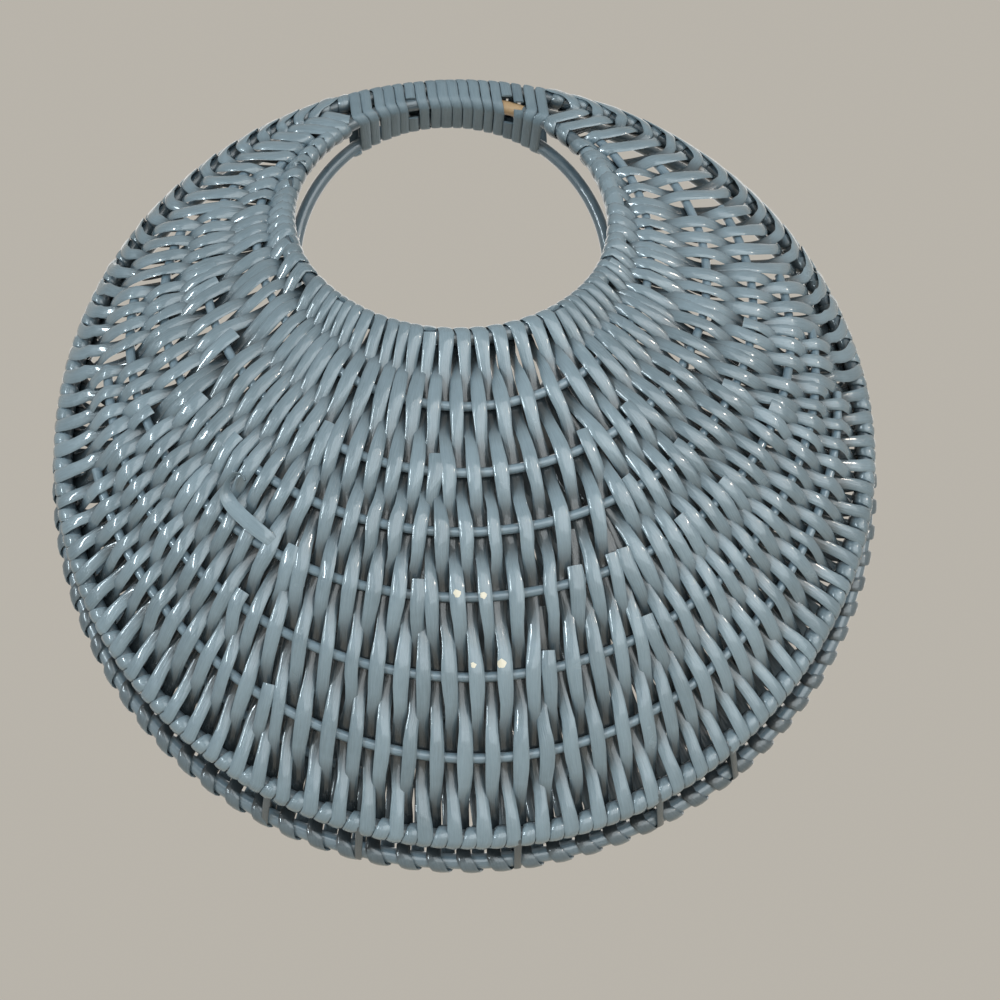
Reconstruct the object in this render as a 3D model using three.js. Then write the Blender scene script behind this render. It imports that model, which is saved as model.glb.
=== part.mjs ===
// Round wicker wall basket: two bellied half panels on hoops, bound together by one wrapped handle.
// Millimetres, +Z up, the wall on the +Y side, the origin under the middle of the handle.
import * as THREE from "three";

// Frame
const BASKET_WIDTH = 400; // across the front hoop, over its weavers
const MOUTH_WIDTH = 157; // clear width of the mouth, inside its weavers
const RIM_ROD = 7; // diameter of the outer hoops' and the mouth rings' rods
const STAVE_ROD = 4.5; // diameter of each bent rod between ring and hoop
const HOOP_SPACING = 15; // front hoop's middle to back hoop's
const BACK_HOOP_DROP = 8; // how far the back hoop hangs below the front one
const STAVE_REACH = [42, 37, 28, 21, 17, 14]; // runs of weaver that each stave spans, from the foot up
const STAVE_SPREAD = 0.135; // how much more the staves bow out at the sides than at the foot

// Panels
const FRONT_MOUTH_TILT = 15.5; // degrees, the ring's foot standing out from the hoop
const BACK_MOUTH_TILT = 9;
const FRONT_BELLY = 16; // extra bulge halfway between ring and hoop
const BACK_BELLY = 12;

// Weave
const WEAVER_WIDTH = 6.5;
const WEAVER_THICKNESS = 1.4;
const WEAVE_GAP = 0.65; // clearance between a weaver and the rod that it crosses
const WEAVERS = 8; // on each panel
const FRONT_PASSES = 96; // radial runs of weaver on the front panel
const BACK_PASSES = 48; // and on the back one, which is woven only in its lower part
const PASS_FILL = 0.82; // greatest share of the room between two runs that a weaver takes
const FRONT_WEAVE_ENDS = [135, 130]; // degrees from the foot to the last run round the ring, left and right
const BACK_WEAVE_ENDS = [69, 66];
const FOOT_OPENING = 0.1236; // how much wider the runs are spaced at the foot than at the handle
const HOOP_LEAD = 38; // degrees by which a side run meets the hoop further round than the ring
const LEAD_FULL = 72; // degrees round the ring where that lead is complete
const LEAD_FALLS = [90, 140]; // degrees round the ring between which the lead falls again
const LEAST_LEAD = 24; // what is left of the lead beside the handle

// Bindings
const HANDLE_LEFT = 45.3; // from the hang point to where the binding starts
const HANDLE_RIGHT = 59.5; // and to where it ends
const HANDLE_TURNS = 18.5;
const BAND_WIDTH = 5.1;
const BAND_THICKNESS = 1.3;
const LASHING_WIDTH = 4.5;
const LASHING_RUNS = [-6, -4, 0, 4, 6]; // places between runs, counted from the foot
const BINDING_GAP = 0.5; // clearance between a binding and the rods in it

// Fineness of the faceted rods
const HOOP_STEPS = 48;
const RING_STEPS = 36;
const ROD_SIDES = 8;
const STAVE_STEPS = 28;
const STAVE_SIDES = 6;

const degrees = THREE.MathUtils.degToRad;
const rimRod = RIM_ROD / 2;
const staveRod = STAVE_ROD / 2;
const halfThickness = WEAVER_THICKNESS / 2;
const weaveOver = WEAVE_GAP + WEAVER_THICKNESS;
const hoopRadius = BASKET_WIDTH / 2 - rimRod - weaveOver;
const ringRadius = MOUTH_WIDTH / 2 + rimRod + weaveOver;
const bindingOver = BINDING_GAP + BAND_THICKNESS;
const ringTop = bindingOver + rimRod;
const hoopTop = ringTop + RIM_ROD + BINDING_GAP;

const cane = new THREE.MeshStandardMaterial({ color: 0x6f8592, roughness: 0.35, metalness: 0 });
const rodPaint = new THREE.MeshStandardMaterial({ color: 0x62788a, roughness: 0.4, metalness: 0 });

// One panel's shape. side is -1 for the front and 1 for the back, which is also its sense along Y.
function makePanel(name, side, tilt, belly, drop, passes, weaveEnds) {
  const panel = { name, side, tilt: degrees(tilt), belly, passes };
  panel.weaveEnds = weaveEnds.map(degrees);
  panel.hoopRadius = hoopRadius + drop / 2;
  panel.ringHalfHeight = ringRadius * Math.cos(panel.tilt);
  panel.plane = (side * HOOP_SPACING) / 2;
  panel.rods = [];
  return panel;
}

// A point of a panel: turn is the angle from the foot, share runs from 0 at the ring to 1 at the hoop.
function panelPoint(panel, turn, share) {
  const spread = share + STAVE_SPREAD * Math.sin(Math.PI * share);
  const halfWidth = THREE.MathUtils.lerp(ringRadius, panel.hoopRadius, spread);
  const halfHeight = THREE.MathUtils.lerp(panel.ringHalfHeight, panel.hoopRadius, share);
  const top = THREE.MathUtils.lerp(ringTop, hoopTop, share);
  const lean = ringRadius * Math.sin(panel.tilt) * (1 + Math.cos(turn)) * (1 - share);
  const bulge = panel.belly * Math.sin(Math.PI * share) * Math.cos(turn / 2);
  return new THREE.Vector3(
    halfWidth * Math.sin(turn),
    panel.plane + panel.side * (lean + bulge),
    top - halfHeight - halfHeight * Math.cos(turn),
  );
}

// How much further round than the ring a run meets the hoop.
function leadAt(onRing) {
  const [from, to] = LEAD_FALLS.map(degrees);
  const full = degrees(HOOP_LEAD) * THREE.MathUtils.smoothstep(onRing, 0, degrees(LEAD_FULL));
  const fall = THREE.MathUtils.smoothstep(onRing, from, to);
  return THREE.MathUtils.lerp(full, degrees(LEAST_LEAD), fall);
}

// The angles at which a run of weaver leaves the ring and meets the hoop, for its place from -1 to 1.
function runEnds(panel, place) {
  const part = Math.abs(place);
  const end = panel.weaveEnds[place < 0 ? 0 : 1];
  const onRing = end * (part + FOOT_OPENING * Math.sin(Math.PI * part));
  return [onRing, onRing + leadAt(onRing)];
}

// The angle at which a run crosses the rod of a share. Seen from the front the run is straight.
function runAngle(panel, place, share) {
  const [onRing, onHoop] = runEnds(panel, place);
  if (share === 0) return Math.sign(place) * onRing;
  if (share === 1) return Math.sign(place) * onHoop;
  const start = panelPoint(panel, onRing, 0);
  const course = panelPoint(panel, onHoop, 1).sub(start);
  let low = onRing - 0.4;
  let high = onHoop + 0.4;
  for (let i = 0; i < 30; i++) {
    const turn = (low + high) / 2;
    const reached = panelPoint(panel, turn, share).sub(start);
    if (reached.x * course.z > reached.z * course.x) low = turn;
    else high = turn;
  }
  return Math.sign(place) * low;
}

const runPlace = (panel, run) => -1 + (2 * run + 1) / panel.passes;

// The direction round a panel at one of its points.
function alongAt(panel, turn, share) {
  const step = 1e-3;
  const ahead = panelPoint(panel, turn + step, share);
  return ahead.sub(panelPoint(panel, turn - step, share)).normalize();
}

// The nearest point on a rod's faceted middle line.
function onRod(points, target) {
  let best = null;
  const chord = new THREE.Line3();
  for (let i = 1; i < points.length; i++) {
    chord.set(points[i - 1], points[i]);
    const near = chord.closestPointToPoint(target, true, new THREE.Vector3());
    if (!best || near.distanceToSquared(target) < best.distanceToSquared(target)) best = near;
  }
  return best;
}

// A closed mesh of loops that are joined in turn, with both ends capped.
function loft(loops) {
  const count = loops[0].length;
  const positions = loops.flatMap((loop) => loop.flatMap((p) => p.toArray()));
  const index = [];
  for (let i = 1; i < loops.length; i++) {
    for (let j = 0; j < count; j++) {
      const a = (i - 1) * count + j;
      const b = (i - 1) * count + ((j + 1) % count);
      index.push(a, b, a + count, b, b + count, a + count);
    }
  }
  const last = (loops.length - 1) * count;
  for (let j = 1; j < count - 1; j++) {
    index.push(0, j + 1, j, last, last + j, last + j + 1);
  }
  const geometry = new THREE.BufferGeometry();
  geometry.setAttribute("position", new THREE.Float32BufferAttribute(positions, 3));
  geometry.setIndex(index);
  return facingOut(geometry);
}

// The same geometry with its faces pointing out.
function facingOut(geometry) {
  const place = geometry.getAttribute("position");
  const index = geometry.getIndex();
  const corner = [0, 1, 2].map(() => new THREE.Vector3());
  let volume = 0;
  for (let i = 0; i < index.count; i += 3) {
    corner.forEach((c, k) => c.fromBufferAttribute(place, index.getX(i + k)));
    volume += corner[0].dot(corner[1].clone().cross(corner[2]));
  }
  if (volume < 0) index.array.reverse();
  geometry.computeVertexNormals();
  return geometry;
}

function makeMesh(name, geometry, material) {
  const mesh = new THREE.Mesh(geometry, material);
  mesh.name = name;
  return mesh;
}

// A full round rod, leaning by the panel's tilt if it is the mouth ring.
function roundRod(panel, radius, steps, top, tilt) {
  const geometry = new THREE.TorusGeometry(radius, rimRod, ROD_SIDES, steps);
  geometry.rotateX(Math.PI / 2 + panel.side * tilt);
  const middle = new THREE.Vector3(0, panel.side * Math.sin(tilt), -Math.cos(tilt));
  middle.multiplyScalar(radius).add(new THREE.Vector3(0, panel.plane, top));
  geometry.translate(middle.x, middle.y, middle.z);
  return geometry;
}

function roundRodPoints(panel, share, steps) {
  const turns = Array.from({ length: steps + 1 }, (_, i) => -Math.PI + (2 * Math.PI * i) / steps);
  return turns.map((turn) => panelPoint(panel, turn, share));
}

// A stave's middle line, from one upper end round the foot to the other.
class StaveLine extends THREE.Curve {
  constructor(panel, share, endPlace) {
    super();
    Object.assign(this, { panel, share, endPlace });
  }

  getPoint(t, target = new THREE.Vector3()) {
    const left = runAngle(this.panel, -this.endPlace, this.share);
    const right = runAngle(this.panel, this.endPlace, this.share);
    return target.copy(panelPoint(this.panel, THREE.MathUtils.lerp(left, right, t), this.share));
  }
}

function addRods(panel, group) {
  panel.rods.push({ share: 0, radius: rimRod, end: 1, points: roundRodPoints(panel, 0, RING_STEPS) });
  const ring = roundRod(panel, ringRadius, RING_STEPS, ringTop, panel.tilt);
  group.add(makeMesh(`${panel.name}_mouth_ring`, ring, rodPaint));
  const section = new THREE.Shape(
    Array.from({ length: STAVE_SIDES }, (_, i) => {
      const angle = (2 * Math.PI * i) / STAVE_SIDES;
      return new THREE.Vector2(staveRod * Math.cos(angle), staveRod * Math.sin(angle));
    }),
  );
  STAVE_REACH.forEach((reach, i) => {
    const share = (i + 1) / (STAVE_REACH.length + 1);
    const end = Math.min((2 * reach) / panel.passes, 1);
    const line = new StaveLine(panel, share, end);
    const geometry = new THREE.ExtrudeGeometry(section, { extrudePath: line, steps: STAVE_STEPS });
    group.add(makeMesh(`${panel.name}_stave_${i + 1}`, geometry, rodPaint));
    panel.rods.push({ share, radius: staveRod, end, points: line.getSpacedPoints(STAVE_STEPS) });
  });
  panel.rods.push({ share: 1, radius: rimRod, end: 1, points: roundRodPoints(panel, 1, HOOP_STEPS) });
  const hoop = roundRod(panel, panel.hoopRadius, HOOP_STEPS, hoopTop, 0);
  group.add(makeMesh(`${panel.name}_hoop`, hoop, rodPaint));
}

// How far a weaver's middle stands off a rod's middle where it is wound round the rod.
const woundOffset = (rod) => (rod.radius + WEAVE_GAP) / Math.cos(Math.PI / 6) + halfThickness;

// The slope of the weaver between two crossings, seen along the rod of the first one.
function slopeBetween(here, other) {
  const way = other.middle.clone().sub(here.middle);
  way.addScaledVector(here.along, -way.dot(here.along));
  return (here.offset + other.offset) / way.length();
}

// How far a weaver's middle stands off each rod's middle, so that it clears the rod as it slopes away.
function setCrestOffsets(list) {
  list.forEach((crossing) => {
    crossing.offset = woundOffset(crossing.rod);
  });
  for (let round = 0; round < 12; round++) {
    list.forEach((crossing, i) => {
      const beside = [list[i - 1], list[i + 1]].filter(Boolean);
      const slope = Math.max(...beside.map((other) => slopeBetween(crossing, other)));
      const crest = (crossing.rod.radius + WEAVE_GAP) * Math.hypot(1, slope) + halfThickness;
      crossing.offset = beside.length === 1 ? Math.max(crest, woundOffset(crossing.rod)) : crest;
    });
  }
}

// The rods that one run crosses, from ring to hoop, with the directions at each crossing: along the
// rod, away from the ring, and out of the basket.
function crossings(panel, place) {
  const list = panel.rods
    .filter((rod) => Math.abs(place) < rod.end)
    .map((rod) => {
      const at = (where) => panelPoint(panel, runAngle(panel, where, rod.share), rod.share);
      const room = at(place + 1 / panel.passes).distanceTo(at(place - 1 / panel.passes));
      const width = Math.min(WEAVER_WIDTH, PASS_FILL * room);
      const along = alongAt(panel, runAngle(panel, place, rod.share), rod.share);
      return { rod, place, width, along, middle: onRod(rod.points, at(place)) };
    });
  list.forEach((crossing, i) => {
    const { along } = crossing;
    const away = (list[i + 1] ?? crossing).middle.clone().sub((list[i - 1] ?? crossing).middle);
    away.addScaledVector(along, -away.dot(along)).normalize();
    const out = new THREE.Vector3().crossVectors(along, away);
    if (out.y * panel.side < 0) out.negate();
    Object.assign(crossing, { away, out });
  });
  setCrestOffsets(list);
  return list;
}

// Points of a half turn round the ring or the hoop, from one run's last crossing to the next one's first.
function turnPoints(panel, from, to, face, angles) {
  const { rod } = from;
  const sense = rod.share === 0 ? -1 : 1;
  const touch = woundOffset(rod);
  return angles.map((angle) => {
    const part = angle / Math.PI;
    const mix = (name) => from[name].clone().lerp(to[name], part).normalize();
    const turn = runAngle(panel, THREE.MathUtils.lerp(from.place, to.place, part), rod.share);
    const position = onRod(rod.points, panelPoint(panel, turn, rod.share))
      .addScaledVector(mix("out"), face * touch * Math.cos(angle))
      .addScaledVector(mix("away"), sense * touch * Math.sin(angle));
    return { position, along: mix("along"), width: Math.min(from.width, to.width) };
  });
}

// One weaver's stations: it goes over and under the rods, turns round the hoop, and comes back.
function weaverStations(panel, firstRun, face) {
  const runs = Array.from({ length: panel.passes / WEAVERS }, (_, i) => {
    const list = crossings(panel, runPlace(panel, firstRun + i));
    return (firstRun + i) % 2 === 0 ? list : list.reverse();
  });
  const third = Math.PI / 3;
  const stations = [];
  const start = runs[0][0];
  const before = { ...start, place: 2 * start.place - runs[1][0].place };
  before.place = THREE.MathUtils.lerp(start.place, before.place, 0.5);
  stations.push(...turnPoints(panel, start, before, face, [third]));
  runs.forEach((run, i) => {
    run.forEach((crossing) => {
      const position = crossing.middle.clone().addScaledVector(crossing.out, face * crossing.offset);
      stations.push({ position, along: crossing.along, width: crossing.width });
      face = -face;
    });
    const last = run[run.length - 1];
    const next = runs[i + 1] ? runs[i + 1][0] : { ...last, place: last.place + 1 / panel.passes };
    const angles = runs[i + 1] ? [third, 2 * third] : [third];
    stations.push(...turnPoints(panel, last, next, -face, angles));
  });
  return { stations, face };
}

// A split cane along its stations: flat on the inside, crowned on the outside.
function weaverGeometry(stations) {
  const loops = stations.map((station, i) => {
    const before = stations[Math.max(i - 1, 0)].position;
    const after = stations[Math.min(i + 1, stations.length - 1)].position;
    const course = after.clone().sub(before).normalize();
    const crown = new THREE.Vector3().crossVectors(course, station.along).normalize();
    const corner = (x, y) =>
      station.position.clone().addScaledVector(station.along, x).addScaledVector(crown, y);
    return [
      corner(-station.width / 2, -halfThickness),
      corner(station.width / 2, -halfThickness),
      corner(0, halfThickness),
    ];
  });
  return loft(loops);
}

function addWeavers(panel, group) {
  let face = -1;
  for (let number = 1; number <= WEAVERS; number++) {
    const woven = weaverStations(panel, ((number - 1) * panel.passes) / WEAVERS, face);
    group.add(makeMesh(`${panel.name}_weaver_${number}`, weaverGeometry(woven.stations), cane));
    face = woven.face;
  }
}

// A band drawn tight round both hoops, between two runs of weaver.
function lashingGeometry(front, back, run) {
  const turn = runAngle(front, (2 * run) / FRONT_PASSES, 1);
  const near = onRod(front.rods.at(-1).points, panelPoint(front, turn, 1));
  const far = onRod(back.rods.at(-1).points, near);
  const inner = rimRod + BINDING_GAP;
  const outer = inner + BAND_THICKNESS;
  const reach = near.distanceTo(far);
  const band = new THREE.Shape();
  band.absarc(0, 0, outer, Math.PI / 2, (3 * Math.PI) / 2);
  band.absarc(reach, 0, outer, -Math.PI / 2, Math.PI / 2);
  const hole = new THREE.Path();
  hole.absarc(0, 0, inner / Math.cos(Math.PI / 12), Math.PI / 2, (3 * Math.PI) / 2);
  hole.absarc(reach, 0, inner / Math.cos(Math.PI / 12), -Math.PI / 2, Math.PI / 2);
  band.holes.push(hole);
  const geometry = new THREE.ExtrudeGeometry(band, {
    depth: LASHING_WIDTH,
    bevelEnabled: false,
    curveSegments: 6,
  });
  geometry.translate(0, 0, -LASHING_WIDTH / 2);
  const across = far.clone().sub(near).normalize();
  const along = alongAt(front, turn, 1);
  along.addScaledVector(across, -along.dot(across)).normalize();
  const rise = new THREE.Vector3().crossVectors(along, across);
  geometry.applyMatrix4(new THREE.Matrix4().makeBasis(across, rise, along).setPosition(near));
  return geometry;
}

// The four rods in the handle at one x, in order round the bundle: middle, slope and a touch from it.
function bundleAt(front, back, x) {
  const over = rimRod + BINDING_GAP + BAND_THICKNESS / 2;
  const rod = (panel, share, radius) => {
    const slope = x / Math.sqrt(radius ** 2 - x ** 2);
    const middle = panelPoint(panel, Math.PI - Math.asin(x / radius), share);
    return { middle: middle.setX(0), slope, touch: over * Math.hypot(1, slope) };
  };
  return [
    rod(front, 1, front.hoopRadius),
    rod(back, 1, back.hoopRadius),
    rod(back, 0, ringRadius),
    rod(front, 0, ringRadius),
  ];
}

// Corners of the band's middle line round the bundle: two tangent corners for each rod.
function bundleCorners(front, back, x) {
  const rods = bundleAt(front, back, x);
  const normals = rods.map((rod, i) => {
    const side = rods[(i + 1) % rods.length].middle.clone().sub(rod.middle).normalize();
    return new THREE.Vector3(0, -side.z, side.y);
  });
  return rods.flatMap((rod, i) => {
    const before = normals[(i + 3) % 4];
    const after = normals[i];
    const halfway = before.clone().add(after).normalize();
    return [
      [before, halfway],
      [halfway, after],
    ].map(([a, b]) => {
      const position = rod.middle.clone().addScaledVector(a.clone().add(b), rod.touch / (1 + a.dot(b)));
      return { position: position.setX(x), along: new THREE.Vector3(1, 0, -rod.slope).normalize() };
    });
  });
}

// The handle's binding: one flat band wound round the four rods.
function handleWrap(front, back) {
  const perTurn = 8;
  const pitch = (HANDLE_LEFT + HANDLE_RIGHT) / HANDLE_TURNS;
  const places = Array.from({ length: HANDLE_TURNS * perTurn + 1 }, (_, i) => {
    const x = -HANDLE_LEFT + (pitch * i) / perTurn;
    return bundleCorners(front, back, x)[i % perTurn];
  });
  const middle = new THREE.Vector3(0, 0, (hoopTop + ringTop) / 2);
  const loops = places.map(({ position, along }, i) => {
    const before = places[Math.max(i - 1, 0)].position;
    const after = places[Math.min(i + 1, places.length - 1)].position;
    const outward = after.clone().sub(before).cross(along).normalize();
    if (outward.dot(position) < outward.dot(middle.setX(position.x))) outward.negate();
    const corner = (x, y) => position.clone().addScaledVector(along, x).addScaledVector(outward, y);
    const halfWidth = BAND_WIDTH / 2;
    const half = BAND_THICKNESS / 2;
    return [
      corner(-halfWidth, -half),
      corner(halfWidth, -half),
      corner(halfWidth, half),
      corner(-halfWidth, half),
    ];
  });
  return { geometry: loft(loops), gap: leastTurnGap(loops, perTurn) };
}

// The least gap between one turn's right edge and the next turn's left edge.
function leastTurnGap(loops, perTurn) {
  const sides = [
    [1, 0],
    [2, 3],
  ];
  let least = Infinity;
  for (const [right, left] of sides) {
    const edge = loops.map((loop) => loop[left]);
    for (let i = 0; i + perTurn < loops.length; i++) {
      const nearby = edge.slice(Math.max(i + perTurn - 2, 0), i + perTurn + 3);
      least = Math.min(least, onRod(nearby, loops[i][right]).distanceTo(loops[i][right]));
    }
  }
  return least;
}

const basket = new THREE.Group();
const front = makePanel("front", -1, FRONT_MOUTH_TILT, FRONT_BELLY, 0, FRONT_PASSES, FRONT_WEAVE_ENDS);
const back = makePanel("back", 1, BACK_MOUTH_TILT, BACK_BELLY, BACK_HOOP_DROP, BACK_PASSES, BACK_WEAVE_ENDS);
for (const panel of [front, back]) {
  addRods(panel, basket);
  addWeavers(panel, basket);
}
const wrap = handleWrap(front, back);
console.log(`least gap between the handle's turns ${wrap.gap.toFixed(2)} mm`);
basket.add(makeMesh("handle_wrap", wrap.geometry, cane));
LASHING_RUNS.forEach((run, i) => {
  basket.add(makeMesh(`rim_lashing_${i + 1}`, lashingGeometry(front, back, run), cane));
});

export default basket;
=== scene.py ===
"""Wicker wall pocket basket.

Shapes are worked out in millimetres and turned to metres when a mesh is made. A turn is an angle
round a panel from its foot, positive to the right, and a share is a place between the mouth ring,
0, and the hoop, 1.
"""

import math

import bpy
import numpy as np
from mathutils import Matrix, Vector


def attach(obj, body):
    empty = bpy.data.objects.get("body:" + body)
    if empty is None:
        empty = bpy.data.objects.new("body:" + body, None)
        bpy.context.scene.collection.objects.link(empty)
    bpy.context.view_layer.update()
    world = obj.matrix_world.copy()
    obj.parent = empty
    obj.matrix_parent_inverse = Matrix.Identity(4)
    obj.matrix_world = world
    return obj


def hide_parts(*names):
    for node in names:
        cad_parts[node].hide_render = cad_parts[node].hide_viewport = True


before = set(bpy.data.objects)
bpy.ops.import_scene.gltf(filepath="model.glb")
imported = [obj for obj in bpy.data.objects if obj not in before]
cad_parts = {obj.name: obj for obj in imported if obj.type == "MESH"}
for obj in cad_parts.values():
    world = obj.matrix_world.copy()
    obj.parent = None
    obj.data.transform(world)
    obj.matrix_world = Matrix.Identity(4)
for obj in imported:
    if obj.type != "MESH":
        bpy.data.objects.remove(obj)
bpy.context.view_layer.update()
rng = np.random.default_rng(7)

MM_PER_M = 1000

# The rods' radii and the rims' places, as in the part's source
RIM_ROD = 3.5
STAVE_ROD = 2.25
HOOP_RADIUS = 194.45
BACK_HOOP_DROP = 8.0
RING_RADIUS = 84.05
RING_TOP = 5.3
HOOP_TOP = 12.8
HOOP_SPACING = 15.0
STAVE_SPREAD = 0.135
STAVES = 6

STRAND_WIDTH = 6.7
STRAND_THICKNESS = 1.6

# Air between a strand and what it touches
CLEARANCE = 0.1

# Facets round each rod, and stations along it
RIM_SIDES = 14
RIM_STATIONS = 240
STAVE_SIDES = 10
STAVE_STATIONS = 121

# The rods, from ring to hoop: each one's share at the foot and how that changes at the sides
ROD_SHARE = np.array((0, 0.156, 0.299, 0.42, 0.548, 0.70, 0.852, 1))
ROD_BEND = np.array((0, -0.066, -0.045, -0.015, 0, -0.035, -0.06, 0))
RODS = len(ROD_SHARE)

# Degrees from the foot at which each rod ends, left and right
FRONT_ROD_ENDS = (
    (180, 138, 125, 113, 100, 90, 78, 180),
    (180, 130, 121, 108, 95, 88, 82, 180),
)
BACK_ROD_ENDS = (
    (180, 74, 80, 86, 91, 91, 86, 180),
    (180, 71, 77, 83, 88, 88, 83, 180),
)

# Where a rim is bent inwards: whether it is the hoop, degrees from the foot to the bend's middle,
# the bend's width in degrees, and its depth, which is below 0 where the rim is bent outwards
RING_DENT = (False, 92, 38, 4.2)
HOOP_DENT = (True, 48, 28, 4)
BACK_HOOP_BULGE = (True, -42, 35, -3)

# The step, in turn or share, over which a panel's directions are taken
NEAR = 1e-3

# The least length that a direction is divided by
TINY = 1e-9

# The angle in degrees from which an edge is drawn sharp
SHARP = 60

# Each strand's grain starts somewhere within this many metres
GRAIN_LENGTH = 5

# The strands' sections, in halves of their width and thickness
LENS_SECTION = np.array(
    [
        (-1, 0), (-0.9, 0.44), (-0.5, 0.88), (0, 1.06), (0.5, 0.88), (0.9, 0.44),
        (1, 0), (0.9, -0.44), (0.5, -0.88), (0, -1), (-0.5, -0.88), (-0.9, -0.44),
    ]
)
BAND_SECTION = np.array(
    [
        (-1, -0.2), (-0.88, 0.62), (-0.4, 0.95), (0.4, 0.95),
        (0.88, 0.62), (1, -0.2), (0.85, -0.85), (-0.85, -0.85),
    ]
)


def round_section(sides):
    angle = 2 * np.pi * np.arange(sides) / sides
    return np.stack([np.cos(angle), np.sin(angle)], -1)


def unit(vector):
    return vector / np.maximum(np.linalg.norm(vector, axis=-1, keepdims=True), TINY)


def smoothstep(part):
    part = np.clip(part, 0, 1)
    return part * part * (3 - 2 * part)


def lerp(start, end, part):
    return start + (end - start) * part


def bell(x, middle, reach):
    return np.exp(-(((x - middle) / reach) ** 2))


def lengths_along(points):
    """How far along the line each of its points lies."""
    steps = np.linalg.norm(np.diff(points, axis=0), axis=1)
    return np.concatenate([[0], np.cumsum(steps)])


def averaged(values, window, **edges):
    """Each value's mean over a window. edges says how the row goes on past its ends."""
    padded = np.pad(values, window // 2, **edges)
    return np.convolve(padded, np.ones(window) / window, mode="valid")


def smoothed(values, sigma):
    """The values with their spacing evened out over their neighbours."""
    steps = np.diff(values)
    reach = int(3 * sigma) + 1
    kernel = np.exp(-0.5 * (np.arange(-reach, reach + 1) / sigma) ** 2)
    padded = np.pad(steps, reach, mode="symmetric")
    steps = np.convolve(padded, kernel / kernel.sum(), mode="valid")
    result = np.concatenate([[0], np.cumsum(steps)])
    return result - result.mean() + np.mean(values)


def curve_through(values, at):
    """A smooth curve through the values at whole numbers."""
    before = 2 * values[0] - values[1]
    after = 2 * values[-1] - values[-2]
    row = np.concatenate([[before], values, [after]])
    low = np.clip(np.floor(at).astype(int), 0, len(values) - 2)
    part = at - low
    a, b, c, d = (row[low + step] for step in range(4))
    square = 2 * a - 5 * b + 4 * c - d
    cube = 3 * b - a - 3 * c + d
    return 0.5 * (2 * b + (c - a) * part + square * part**2 + cube * part**3)


class Panel:
    """One bellied half panel.

    side is -1 for the front one and 1 for the back one, and tilt is how many degrees the ring leans
    out. The last two set painted shade: the light painted on the bare rims, and that painted on the
    inner side of what is wound round them, both below 1 for shade.
    """

    def __init__(self, name, side, tilt, belly, drop, dents, rim_cover, hidden_cover):
        self.name = name
        self.side = side
        self.tilt = math.radians(tilt)
        self.belly = belly
        self.dents = dents
        self.rim_cover = rim_cover
        self.hidden_cover = hidden_cover
        self.hoop_radius = HOOP_RADIUS + drop / 2
        self.ring_half_height = RING_RADIUS * math.cos(self.tilt)
        self.plane = side * HOOP_SPACING / 2

    def inset(self, turn, share):
        """How far the hand-bent rims lie inside their circles."""
        total = 0
        for on_hoop, at, width, depth in self.dents:
            near = share if on_hoop else 1 - share
            total = total + depth * near**2 * bell(turn, math.radians(at), math.radians(width))
        return total

    def point(self, turn, share):
        turn, share = np.broadcast_arrays(np.asarray(turn, float), np.asarray(share, float))
        inset = self.inset(turn, share)
        spread = share + STAVE_SPREAD * np.sin(np.pi * share)
        half_width = lerp(RING_RADIUS, self.hoop_radius, spread)
        half_height = lerp(self.ring_half_height, self.hoop_radius, share)
        top = lerp(RING_TOP, HOOP_TOP, share)
        lean = RING_RADIUS * math.sin(self.tilt) * (1 + np.cos(turn)) * (1 - share)
        bulge = self.belly * np.sin(np.pi * share) * np.cos(turn / 2)
        y = self.plane + self.side * (lean + bulge)
        z = top - half_height - (half_height - inset) * np.cos(turn)
        return np.stack([(half_width - inset) * np.sin(turn), y, z], -1)

    def along(self, turn, share):
        return unit(self.point(turn + NEAR, share) - self.point(turn - NEAR, share))

    def away(self, turn, share):
        """The direction away from the ring, square to the rod."""
        share = np.asarray(share)
        along = self.along(turn, share)
        way = self.point(turn, share + NEAR) - self.point(turn, share - NEAR)
        return unit(way - along * np.sum(way * along, -1, keepdims=True))

    def out(self, turn, share):
        """The direction out of the basket, square to the panel."""
        normal = np.cross(self.along(turn, share), self.away(turn, share))
        return unit(normal) * np.where(normal[..., 1:2] * self.side < 0, -1, 1)


front = Panel(
    "front", side=-1, tilt=15.5, belly=16, drop=0,
    dents=(RING_DENT, HOOP_DENT), rim_cover=0.5, hidden_cover=0.25,
)
back = Panel(
    "back", side=1, tilt=9, belly=12, drop=BACK_HOOP_DROP,
    dents=(BACK_HOOP_BULGE,), rim_cover=0.75, hidden_cover=0.65,
)


def make_object(name, verts, faces, data, cover, material):
    """A smooth-shaded piece on the basket's one body.

    data holds each vertex's place along and across its strand and the strand's own random draw, and
    the last array holds the light painted on each vertex: where it is below 1, the colour is darkened
    as painted shade.
    """
    mesh = bpy.data.meshes.new(name)
    mesh.from_pydata((np.asarray(verts) / MM_PER_M).tolist(), [], faces)
    mesh.validate()
    mesh.shade_smooth()
    mesh.set_sharp_from_angle(angle=math.radians(SHARP))
    attribute = mesh.attributes.new("strand", "FLOAT_VECTOR", "POINT")
    attribute.data.foreach_set("vector", np.asarray(data, np.float32).ravel())
    attribute = mesh.attributes.new("cover", "FLOAT", "POINT")
    attribute.data.foreach_set("value", np.asarray(cover, np.float32))
    piece = bpy.data.objects.new(name, mesh)
    bpy.context.scene.collection.objects.link(piece)
    mesh.materials.append(material)
    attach(piece, "root")
    return piece


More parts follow.
